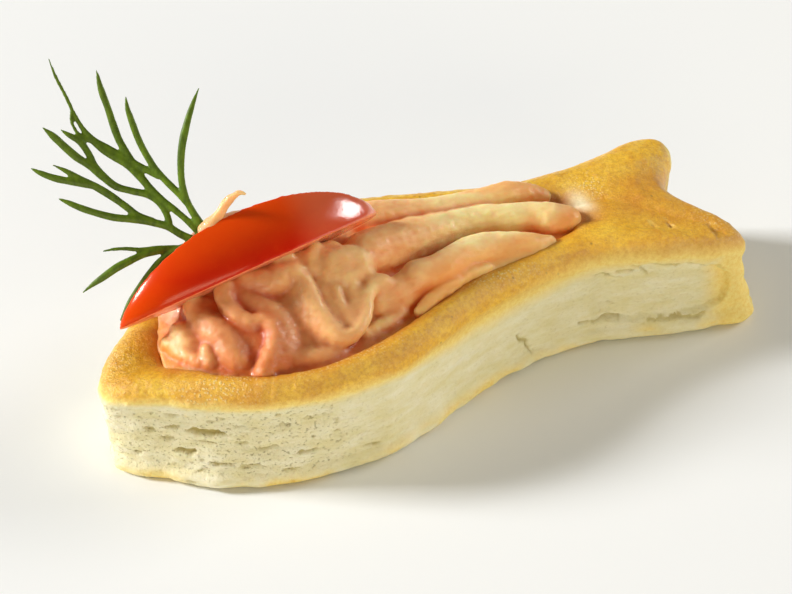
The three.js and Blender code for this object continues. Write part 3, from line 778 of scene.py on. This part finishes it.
# Piped strands and folds: how softly each joins the rest, then x, y, z and radius along it.
STRANDS = {
    "head_wall": (0.5, [
        (-26.9, 1.8, 16.9, 1.0), (-27.2, 1.0, 16.1, 1.0), (-27.2, -0.1, 15.4, 1.0),
        (-27.1, -1.0, 14.7, 1.1),
    ]),
    "head_lump": (0.6, [
        (-29.3, 0.2, 14.0, 1.1), (-28.9, -0.4, 13.3, 1.8), (-28.9, -1.6, 13.0, 1.6),
    ]),
    "middle_lump": (0.6, [
        (-26.5, -1.0, 15.2, 1.4), (-25.8, -2.5, 14.4, 2.0), (-25.2, -4.2, 13.9, 2.1),
        (-25.1, -5.6, 13.5, 1.9), (-25.2, -6.9, 13.3, 1.4),
    ]),
    "small_lobe": (0.25, [
        (-27.8, -4.2, 13.8, 0.7), (-27.9, -4.9, 13.3, 0.9), (-28.0, -5.6, 12.8, 0.9),
    ]),
    "flap": (0.3, [
        (-30.6, 0.2, 12.6, 1.0), (-29.8, -2.4, 12.6, 1.1), (-28.8, -4.6, 12.5, 1.0),
    ]),
    "ribbon": (0.5, [
        (-23.3, 0.4, 18.1, 1.2), (-23.7, -0.5, 17.5, 1.2), (-23.6, -2.0, 16.7, 1.1),
        (-23.0, -3.5, 16.1, 1.1), (-22.1, -4.4, 15.9, 0.95), (-20.9, -4.8, 15.9, 1.0),
        (-20.3, -5.8, 15.6, 1.1), (-20.5, -7.1, 14.9, 1.1), (-21.3, -8.1, 14.3, 1.1),
        (-22.2, -9.1, 13.6, 1.2), (-23.1, -9.9, 12.9, 1.3),
    ]),
    "ribbon_right": (0.7, [
        (-22.1, 0.3, 17.1, 1.6), (-21.0, -1.6, 16.5, 1.4), (-19.6, -3.5, 16.0, 1.3),
        (-19.0, -5.1, 15.1, 1.4), (-19.1, -6.7, 14.3, 1.4), (-19.9, -8.0, 13.5, 1.4),
        (-21.2, -9.2, 12.8, 1.3),
    ]),
    "upper_fold": (0.7, [
        (-20.6, 0.3, 18.5, 1.3), (-19.4, -0.4, 18.1, 1.5), (-18.1, -0.8, 17.8, 1.6),
        (-16.5, -0.7, 18.1, 1.6), (-15.2, -0.8, 18.1, 1.4),
    ]),
    "limb": (0.5, [
        (-15.2, -0.8, 18.2, 1.3), (-14.6, -1.9, 17.7, 1.2), (-14.5, -3.3, 17.0, 1.2),
        (-14.6, -4.8, 16.3, 1.2), (-14.4, -6.3, 15.5, 1.25), (-14.0, -7.8, 14.7, 1.3),
        (-13.3, -9.0, 14.1, 1.2), (-12.1, -9.4, 14.0, 1.0), (-10.7, -8.8, 14.3, 0.9),
        (-9.5, -7.9, 14.7, 0.8), (-8.6, -6.7, 15.3, 0.8), (-7.9, -5.5, 15.9, 0.9),
        (-6.8, -4.6, 16.2, 1.0), (-5.5, -4.3, 16.0, 1.1),
    ]),
    "limb_face": (0.8, [
        (-15.3, -1.8, 16.6, 1.5), (-15.3, -3.6, 15.6, 1.6), (-15.1, -5.7, 14.7, 1.6),
        (-14.4, -7.6, 14.1, 1.4),
    ]),
    "groove_ridge": (0.4, [
        (-11.2, -1.7, 17.7, 0.8), (-11.3, -3.2, 16.9, 0.7), (-11.4, -4.8, 16.2, 0.6),
        (-11.5, -6.0, 15.5, 0.6), (-11.4, -7.3, 14.9, 0.55), (-11.2, -8.6, 14.4, 0.5),
    ]),
    "groove_floor": (0.6, [
        (-12.4, -2.2, 16.8, 1.0), (-12.6, -4.6, 15.7, 0.9), (-12.6, -6.6, 14.7, 0.9),
        (-12.2, -8.2, 14.0, 0.8),
    ]),
    "root_nose": (1.2, [
        (-10.5, -0.8, 18.3, 1.6), (-8.9, -0.9, 17.9, 1.9), (-7.4, -1.3, 17.6, 1.8),
        (-7.3, -2.2, 17.1, 1.5),
    ]),
    "root_nose_low": (0.6, [
        (-11.0, -1.8, 17.4, 1.4), (-9.7, -2.3, 17.1, 1.5), (-8.4, -2.4, 17.0, 1.4),
    ]),
    "under_tomato": (1.0, [
        (-18.5, 1.2, 17.6, 1.5), (-14.0, 1.0, 17.8, 1.6), (-9.5, 1.2, 17.6, 1.8),
    ]),
    "thin_ridge": (0.9, [
        (-11.5, 1.1, 19.7, 0.7), (-12.3, 0.0, 19.1, 0.8), (-12.7, -1.0, 18.3, 0.8),
    ]),
    "web": (0.9, [
        (-9.6, -2.8, 16.5, 1.3), (-9.3, -4.3, 15.7, 1.2), (-9.8, -5.9, 14.9, 1.1),
        (-10.8, -7.4, 14.2, 1.0),
    ]),
    "pocket": (0.8, [
        (-26.2, 1.6, 15.2, 1.5), (-25.8, 0.2, 14.8, 1.5), (-25.9, -1.0, 14.2, 1.4),
    ]),
    "floor_lump": (0.8, [
        (-18.6, -9.2, 12.6, 1.2), (-16.4, -10.1, 12.4, 1.3), (-14.0, -9.8, 12.3, 1.1),
    ]),
    "floor_fold": (0.7, [
        (-9.4, -8.6, 12.5, 0.9), (-7.0, -7.8, 12.7, 1.0), (-4.4, -6.9, 12.7, 1.0),
    ]),
    "stub": (0.4, [
        (-16.4, 0.9, 19.5, 0.7), (-15.0, 0.9, 19.5, 0.8),
    ]),
    "near_body": (0.7, [
        (-5.3, -4.5, 15.0, 1.5), (-3.9, -4.6, 14.6, 1.7), (-2.1, -4.1, 14.6, 1.7),
        (-0.1, -3.3, 14.7, 1.6),
    ]),
    "near_low": (0.7, [
        (-5.9, -5.1, 13.8, 1.7), (-4.1, -5.2, 13.5, 1.7), (-2.1, -4.7, 13.6, 1.6),
    ]),
    "near": (0.6, [
        (-0.6, -4.0, 15.0, 2.1), (2.1, -3.9, 14.9, 2.1), (4.9, -2.9, 14.9, 2.1),
        (8.5, -2.0, 14.7, 2.0), (12.0, -2.2, 14.2, 1.75), (15.2, -2.9, 13.9, 1.4),
        (17.4, -2.9, 13.7, 0.8),
    ]),
    "near_foot": (0.9, [
        (-0.4, -5.5, 12.9, 1.2), (4.0, -4.6, 12.9, 1.2), (8.0, -4.2, 12.8, 1.3),
        (12.0, -4.0, 12.8, 1.3), (15.5, -3.7, 12.8, 1.1), (17.6, -3.2, 12.8, 0.8),
    ]),
    "root_side": (0.8, [
        (-5.3, 0.3, 16.8, 2.3), (-6.8, -1.0, 16.8, 1.9),
    ]),
    "middle": (0.6, [
        (-5.1, 0.8, 16.6, 2.8), (-3.0, 1.3, 16.2, 2.9), (0.7, 2.1, 15.7, 2.7),
        (4.4, 2.7, 15.4, 2.3), (7.3, 3.1, 15.1, 2.0), (11.6, 3.2, 14.6, 1.9),
        (14.7, 2.5, 14.3, 1.9), (17.9, 2.0, 14.0, 1.85), (19.8, 1.1, 13.7, 2.05),
        (21.7, 0.4, 13.3, 1.8),
    ]),
    "far": (0.6, [
        (-2.6, 6.3, 17.0, 2.4), (-0.6, 6.3, 16.8, 2.3), (2.7, 6.1, 16.3, 2.0),
        (6.1, 6.0, 16.0, 1.7), (8.9, 6.2, 15.6, 1.6), (13.2, 6.4, 15.0, 1.6),
        (17.2, 6.6, 14.5, 1.75), (20.0, 6.3, 13.7, 1.5), (21.4, 5.9, 13.2, 1.1),
    ]),
    "short": (0.3, [
        (-2.6, -8.2, 13.4, 0.7), (-1.0, -7.3, 13.7, 0.9), (1.1, -6.4, 13.9, 1.0),
        (3.2, -5.7, 14.1, 1.0), (5.2, -5.1, 14.2, 0.95), (6.9, -4.9, 14.1, 0.85),
        (8.1, -4.8, 14.0, 0.65),
    ]),
}
# Along the fish, painted light and shade: how much paler or darker than elsewhere the cream's colour
# is, darker round the head's folds in the tomato's shadow.
PALER = [
    (-30, 0.05), (-26, -0.15), (-20, -0.15), (-17, 0.0), (-14, 0.12), (-8, 0.12), (-5, -0.08),
    (1, -0.08), (8, 0.16), (18, 0.1), (22, -0.1),
]
# The thin peak pulled up behind the tomato.
PEAK = [
    (-22.9, 4.9, 23.2, 1.5),
    (-22.3, 4.9, 24.3, 0.85),
    (-21.6, 4.95, 25.1, 0.6),
    (-21.0, 5.05, 25.9, 0.6),
    (-20.4, 4.95, 26.6, 0.55),
    (-19.8, 4.75, 27.2, 0.42),
    (-19.2, 4.5, 27.6, 0.32),
    (-18.8, 4.1, 27.5, 0.25),
]


def cream_material():
    look = Surface("salmon_cream")
    crest, moist, amber = look.value("crest"), look.value("moist"), look.value("amber")
    fibres = look.noise((1.8, 0.45, 0.45), 5.0, 0.65)
    fine = look.noise((0.35, 0.35, 0.35), 2.0)
    blotch = look.noise((3.0, 3.0, 3.0), 3.0)
    # Lit and shaded copies of the cream's colour: painted light on crests, painted shade in hollows.
    dry = look.mix(look.stretch(crest, 0.22, 0.76), colour(232, 118, 44), colour(255, 234, 168))
    wet = look.mix(look.stretch(crest, 0.2, 0.72), colour(190, 76, 20), colour(242, 192, 130))
    tint = look.mix(moist, dry, wet)
    tint = look.mix(look.stretch(blotch, 0.42, 0.7, 0.0, 0.25), tint, colour(232, 132, 80))
    edge = look.mix(moist, colour(240, 150, 52), colour(204, 108, 36))
    tint = look.mix(look.times(amber, 0.55), tint, edge)
    look.set(Base_Color=tint, Roughness=look.stretch(fine, 0.3, 0.7, 0.38, 0.52))
    look.set(Specular_IOR_Level=0.35)
    rough = look.bump(fibres, 0.16, 0.6, look.bump(fine, 0.05, 0.4))
    look.set(Normal=rough, Coat_Normal=rough)
    look.set(Subsurface_Weight=0.7, Subsurface_Radius=(1.0, 0.4, 0.18), Subsurface_Scale=1.8 * MM)
    puddles = look.stretch(look.noise((0.7, 0.7, 0.7), 3.0, 0.6), 0.5, 0.62, 0.04, 0.8)
    look.set(Coat_Weight=look.times(puddles, look.stretch(moist, 0.0, 1.0, 0.25, 1.0)))
    look.set(Coat_IOR=1.5, Coat_Roughness=0.1)
    return look.material


def add_cream():
    field = Field(CREAM_LOW, CREAM_HIGH, CREAM_CELL)
    whole, points = field.part(np.array(CREAM_LOW), np.array(CREAM_HIGH))
    z, flat = points[..., 2], points[:, :, :1]
    outside = out_of("cream", flat) - BED_SPREAD + 0.4 * noise(flat, 2.5, 15)
    level = along_fish(BED_LEVELS, flat[..., 0]) + BED_CROWN * smoothstep(0, -4, outside)
    level += 0.5 * smoothstep(0, -1.5, outside) * rough_noise(flat, (3.5, 2.2, 1.0), 17)
    outside = outside - np.maximum(z - BED_FLARE, 0)
    field.join(whole, np.maximum(outside, z - level), 1.0)
    for centre, radii in HEAP:
        field.ball(centre, radii, HEAP_BLEND)
    for blend, rows in STRANDS.values():
        field.strand(rows, blend)
    field.strand(PEAK, PEAK_BLEND)
    # Below the rim the cream fills the hollow and no more.
    field.far = np.max([field.far, outside, BED_FOOT - z], 0)
    points, faces = field.skin()
    points = smoothed(points, faces, CREAM_SMOOTHINGS)
    normals = normals_of(points, faces)
    moist = smoothstep(-2, -12, points[:, 0]) * smoothstep(-31.5, -28.5, points[:, 0])
    push = 0.14 * rough_noise(points, 2.0, 5) + 0.05 * noise(points, 0.6, 9)
    push += (1 - moist) * 0.05 * noise(points, (2.2, 0.5, 0.5), 13)
    points = points + normals * push[:, None]
    level = smoothed(points, faces, LEVEL_SMOOTHINGS)
    crest = 0.5 + ((points - level) * normals).sum(-1) / CREST_HEIGHT
    # Painted shade: darker low down by the bed, and painted light and shade along the fish.
    crest += along_fish(PALER, points[:, 0]) - 0.2 * smoothstep(13.6, 12.6, points[:, 2])
    # Painted light: paler at the thin peak, where light shines through it.
    crest += 0.3 * smoothstep(23, 26, points[:, 2])
    amber = smoothstep(-1.6, 0.4, out_of("cream", points))
    add_piece(
        "piped_salmon_cream", "cream", "salmon_cream", cream_material(), points, faces,
        crest=np.clip(crest, 0, CREST_MOST), moist=moist, amber=amber,
    )


# ---- Tomato ----

TOMATO_VOXEL = 0.14
TOMATO_SMOOTHINGS = 16
WEDGE_RINGS, WEDGE_EDGE_POINTS = 90, 24
WEDGE_TIPS = np.array([(-35.5, 3.3, 14.0), (-1.7, 4.5, 19.0)])
# Half way along, the wedge's corners from the line between its tips: towards the skin's lower
# edge, and square to that.
WEDGE_OUT = np.array([-0.355, -0.715, 0.602])
WEDGE_UP = unit(np.cross(WEDGE_OUT, WEDGE_TIPS[1] - WEDGE_TIPS[0]))
CORE, SKIN_TOP, SKIN_FOOT = (0.0, -0.7), (5.6, 6.9), (7.0, 0.0)
SKIN_BULGE = 0.9
WEDGE_FULLEST = 0.55
WEDGE_TAPER = (0.75, 0.5)
SKIN_FACING = unit(0.98 * WEDGE_OUT + 0.2 * WEDGE_UP)


def tomato_skin():
    share = (1 - np.cos(np.linspace(0, math.pi, WEDGE_RINGS)[1:-1])) / 2
    rising = share < WEDGE_FULLEST
    off = (share - WEDGE_FULLEST) / np.where(rising, WEDGE_FULLEST, 1 - WEDGE_FULLEST)
    fullness = (1 - off * off) ** np.where(rising, *WEDGE_TAPER)
    t = np.linspace(0, 1, WEDGE_EDGE_POINTS, endpoint=False)[:, None]
    core, high, low = map(np.array, (CORE, SKIN_TOP, SKIN_FOOT))
    skin = high + (low - high) * t + SKIN_BULGE * 4 * t * (1 - t) * (1, 0)
    section = np.concatenate([core + (high - core) * t, skin, low + (core - low) * t])
    offsets = section[:, :1] * WEDGE_OUT + section[:, 1:] * WEDGE_UP
    middle = WEDGE_TIPS[0] + (WEDGE_TIPS[1] - WEDGE_TIPS[0]) * share[:, None]
    rings = middle[:, None] + fullness[:, None, None] * offsets
    return lofted(rings, *WEDGE_TIPS)


def tomato_material():
    look = Surface("tomato")
    skin, along, wet = look.value("skin"), look.value("along"), look.value("wet")
    flecks = look.noise((1.2, 1.2, 1.2), 4.0, 0.6)
    broad = look.noise((9.0, 9.0, 9.0), 2.0)
    red = look.mix(look.stretch(broad, 0.35, 0.65), colour(206, 40, 0), colour(192, 28, 0))
    red = look.mix(look.stretch(flecks, 0.55, 0.8, 0.0, 0.2), red, colour(222, 70, 4))
    # Painted light: a lighter orange on the up-facing skin and towards the left tip, where the light
    # falls.
    red = look.mix(look.times(along, 0.6), red, colour(208, 78, 2))
    # Painted sheen: a lighter orange at the glossy right end, round the highlight.
    red = look.mix(look.times(wet, 0.3), red, colour(226, 110, 40))
    flesh = look.mix(look.stretch(flecks, 0.3, 0.7), colour(242, 156, 116), colour(230, 112, 68))
    look.set(Base_Color=look.mix(skin, flesh, red), Roughness=0.22)
    look.set(Specular_IOR_Level=0.15, Specular_Tint=(1, 0.3, 0.1, 1))
    look.set(Normal=look.bump(flecks, 0.03, 0.4))
    look.set(Subsurface_Weight=0.35, Subsurface_Radius=(1.0, 0.2, 0.05), Subsurface_Scale=1.2 * MM)
    fibres = look.noise((0.3, 0.3, 3.0), 2.0)
    look.set(Coat_Weight=look.stretch(wet, 0.0, 1.0, 0.1, 1.0), Coat_IOR=2.0, Coat_Roughness=0.14)
    look.set(Coat_Normal=look.bump(fibres, 0.03, look.times(wet, 0.8)))
    return look.material


def add_tomato():
    points, faces = fused([tomato_skin()], TOMATO_VOXEL)
    points = smoothed(points, faces, TOMATO_SMOOTHINGS)
    normals = normals_of(points, faces)
    facing = (normals * SKIN_FACING).sum(-1)
    skin = smoothstep(0.35, 0.6, facing)
    push = 0.02 * noise(points, 2.5, 4)
    push += smoothstep(0.0, -0.4, facing) * 0.08 * rough_noise(points, 1.5, 3)
    points = points + normals * push[:, None]
    share = (points[:, 0] - WEDGE_TIPS[0, 0]) / (WEDGE_TIPS[1, 0] - WEDGE_TIPS[0, 0])
    add_piece(
        "tomato_slice", "tomato_wedge", "tomato", tomato_material(), points, faces,
        # The along value marks where the painted light goes on the skin.
        skin=skin, along=np.maximum(smoothstep(0.3, 0.0, share), smoothstep(0.5, 1.0, normals[:, 2])),
        wet=smoothstep(0.6, 0.75, share),
    )


# ---- Dill ----

DILL_VOXEL = 0.12
DILL_SMOOTHINGS = 3
THREAD_STEP, THREAD_SIDES = 0.25, 16
SPRIG_REACH = 22.0
SPRIG_ROOT = np.array([-23.1, 5.6, 22.0])
SPRIG_ACROSS = np.array([0.896, -0.445, 0.0])
SPRIG_ALONG = np.array([0.268, 0.539, 0.799])
SPRIG_FACING = np.cross(SPRIG_ACROSS, SPRIG_ALONG)
SPRIG_LEAN, SPRIG_WAVE = 0.05, 0.7
# Threads in the sprig's plane: x across it, y along it and half the width.
THREADS = [
    [
        (0.2, 0.1, 0.49), (-1.1, 1.9, 0.49), (-2.2, 3.8, 0.44), (-2.8, 5.7, 0.42),
        (-3.0, 8.0, 0.44), (-2.8, 10.6, 0.49), (-2.3, 12.9, 0.44), (-1.6, 15.3, 0.29),
        (-1.0, 17.0, 0.12),
    ],
    [
        (-2.2, 3.7, 0.44), (-3.5, 5.1, 0.42), (-4.9, 6.5, 0.42), (-6.1, 7.9, 0.42),
        (-7.1, 9.5, 0.44), (-8.0, 11.3, 0.44), (-8.7, 13.2, 0.42), (-9.2, 14.8, 0.29),
        (-9.4, 16.0, 0.12),
    ],
    [
        (-5.6, 6.9, 0.42), (-6.8, 7.5, 0.42), (-8.3, 8.3, 0.44), (-10.0, 9.3, 0.44),
        (-11.7, 10.2, 0.44), (-13.2, 11.1, 0.42), (-14.3, 12.3, 0.34), (-15.3, 14.0, 0.27),
        (-16.3, 16.1, 0.25), (-17.4, 18.2, 0.22), (-18.3, 20.4, 0.12),
    ],
    [
        (-8.3, 8.2, 0.37), (-9.2, 9.4, 0.44), (-10.1, 10.9, 0.47), (-10.8, 12.7, 0.47),
        (-11.5, 14.8, 0.44), (-12.3, 17.0, 0.39), (-12.8, 19.1, 0.12),
    ],
    [
        (-0.7, 0.1, 0.44), (-1.9, 1.4, 0.42), (-3.5, 2.8, 0.42), (-5.1, 4.1, 0.42),
        (-6.6, 5.5, 0.47), (-7.8, 6.9, 0.52), (-9.3, 8.3, 0.52), (-10.7, 9.1, 0.47),
        (-12.0, 9.9, 0.42), (-13.1, 10.8, 0.37),
    ],
    [
        (-13.1, 10.8, 0.29), (-14.2, 11.2, 0.27), (-15.1, 12.1, 0.25), (-15.6, 13.2, 0.22),
        (-15.7, 14.3, 0.14),
    ],
    [
        (-1.2, -0.6, 0.49), (-2.9, 0.1, 0.47), (-4.6, 1.1, 0.47), (-6.6, 1.6, 0.47),
        (-8.5, 1.9, 0.47), (-10.7, 2.1, 0.47), (-12.7, 2.6, 0.44), (-14.5, 3.2, 0.42),
        (-15.9, 3.8, 0.32), (-16.9, 4.2, 0.12),
    ],
    [
        (-4.3, 1.2, 0.42), (-4.6, 2.3, 0.42), (-5.6, 3.9, 0.42), (-6.8, 4.7, 0.44),
        (-8.8, 5.2, 0.44), (-10.5, 5.7, 0.47), (-11.8, 6.7, 0.49), (-12.9, 8.0, 0.47),
        (-13.7, 9.6, 0.44), (-14.7, 10.9, 0.42), (-15.9, 11.6, 0.34), (-16.8, 12.2, 0.12),
    ],
    [
        (-12.1, 6.8, 0.42), (-13.4, 8.0, 0.47), (-14.9, 9.0, 0.49), (-16.5, 10.4, 0.49),
        (-17.7, 11.5, 0.42), (-18.8, 12.4, 0.12),
    ],
    [
        (-6.3, 1.7, 0.44), (-7.9, 2.3, 0.44), (-9.5, 3.5, 0.44), (-11.2, 4.7, 0.47),
        (-12.9, 5.7, 0.47), (-14.5, 6.5, 0.42), (-16.1, 7.4, 0.32), (-17.6, 8.1, 0.12),
    ],
    [
        (-12.9, 5.7, 0.44), (-14.4, 6.0, 0.47), (-16.1, 6.3, 0.44), (-17.8, 6.7, 0.42),
        (-19.1, 7.2, 0.34), (-20.1, 7.7, 0.12),
    ],
    [
        (-1.9, -1.3, 0.25), (-3.9, -1.3, 0.27), (-5.8, -1.4, 0.29), (-7.8, -1.6, 0.29),
        (-9.5, -1.5, 0.27), (-10.7, -1.6, 0.22), (-11.8, -1.8, 0.12),
    ],
    [
        (-2.4, -1.3, 0.3), (-4.4, -1.6, 0.32), (-5.8, -1.8, 0.42), (-7.3, -2.2, 0.44),
        (-8.8, -2.9, 0.47), (-10.4, -3.8, 0.49), (-11.8, -4.8, 0.44), (-13.1, -5.7, 0.29),
        (-14.1, -6.5, 0.12),
    ],
    [
        (-1.0, -0.8, 0.44), (-2.2, -1.1, 0.44), (-3.9, -1.9, 0.49), (-5.4, -3.1, 0.52),
        (-6.7, -4.7, 0.49), (-7.9, -6.4, 0.44), (-8.9, -8.1, 0.37), (-9.7, -9.7, 0.2),
    ],
    [
        (0.5, -1.6, 0.6), (0.1, -0.2, 0.55), (-0.7, 0.1, 0.5), (-1.2, -0.6, 0.5), (-1.6, -1.2, 0.4),
    ],
]
THREAD_FLATNESS = 0.7


def in_sprig(flat):
    x, y = flat[..., :1], flat[..., 1:]
    lean = SPRIG_LEAN * (np.abs(x) - y) + SPRIG_WAVE * np.sin(0.35 * x + 0.2 * y)
    return SPRIG_ROOT + x * SPRIG_ACROSS + y * SPRIG_ALONG + lean * SPRIG_FACING


def dill_material():
    look = Surface("dill")
    tip = look.value("tip")
    streaks = look.noise((0.7, 0.7, 2.5), 3.0)
    green = look.mix(look.stretch(streaks, 0.35, 0.65), colour(66, 92, 0), colour(98, 126, 12))
    green = look.mix(look.times(tip, 0.5), green, colour(84, 98, 20))
    look.set(Base_Color=green, Roughness=0.5, Specular_IOR_Level=0.3)
    look.set(Normal=look.bump(look.noise((0.3, 0.3, 0.8), 2.0), 0.05, 0.5))
    look.set(Subsurface_Weight=0.15, Subsurface_Radius=(0.4, 1.0, 0.1), Subsurface_Scale=0.5 * MM)
    return look.material


def add_dill():
    skins = []
    for rows in map(np.array, THREADS):
        rows = np.concatenate([in_sprig(rows[:, :2]), rows[:, 2:]], 1)
        skins.append(tube(rows, SPRIG_FACING, THREAD_FLATNESS, THREAD_STEP, THREAD_SIDES))
    points, faces = fused(skins, DILL_VOXEL)
    points = smoothed(points, faces, DILL_SMOOTHINGS)
    normals = normals_of(points, faces)
    points = points + normals * (0.03 * noise(points, 1.2, 7))[:, None]
    reach = np.linalg.norm(points - SPRIG_ROOT, axis=1)
    add_piece(
        "dill_fronds", "dill_sprig", "dill", dill_material(), points, faces,
        tip=np.clip(reach / SPRIG_REACH, 0, 1),
    )


# ---- The whole ----


def add_floor():
    half = FLOOR_WIDTH / 2
    corners = [(-half, -half), (half, -half), (half, half), (-half, half)]
    mesh = bpy.data.meshes.new("floor")
    mesh.from_pydata([(x * MM, y * MM, -FLOOR_BELOW * MM) for x, y in corners], [], [(0, 1, 2, 3)])
    look = Surface("floor")
    look.set(Base_Color=FLOOR_COLOUR, Roughness=0.7)
    mesh.materials.append(look.material)
    linked("floor", mesh)


add_camera()
add_lights()
add_floor()
add_pastry()
add_cream()
add_tomato()
add_dill()
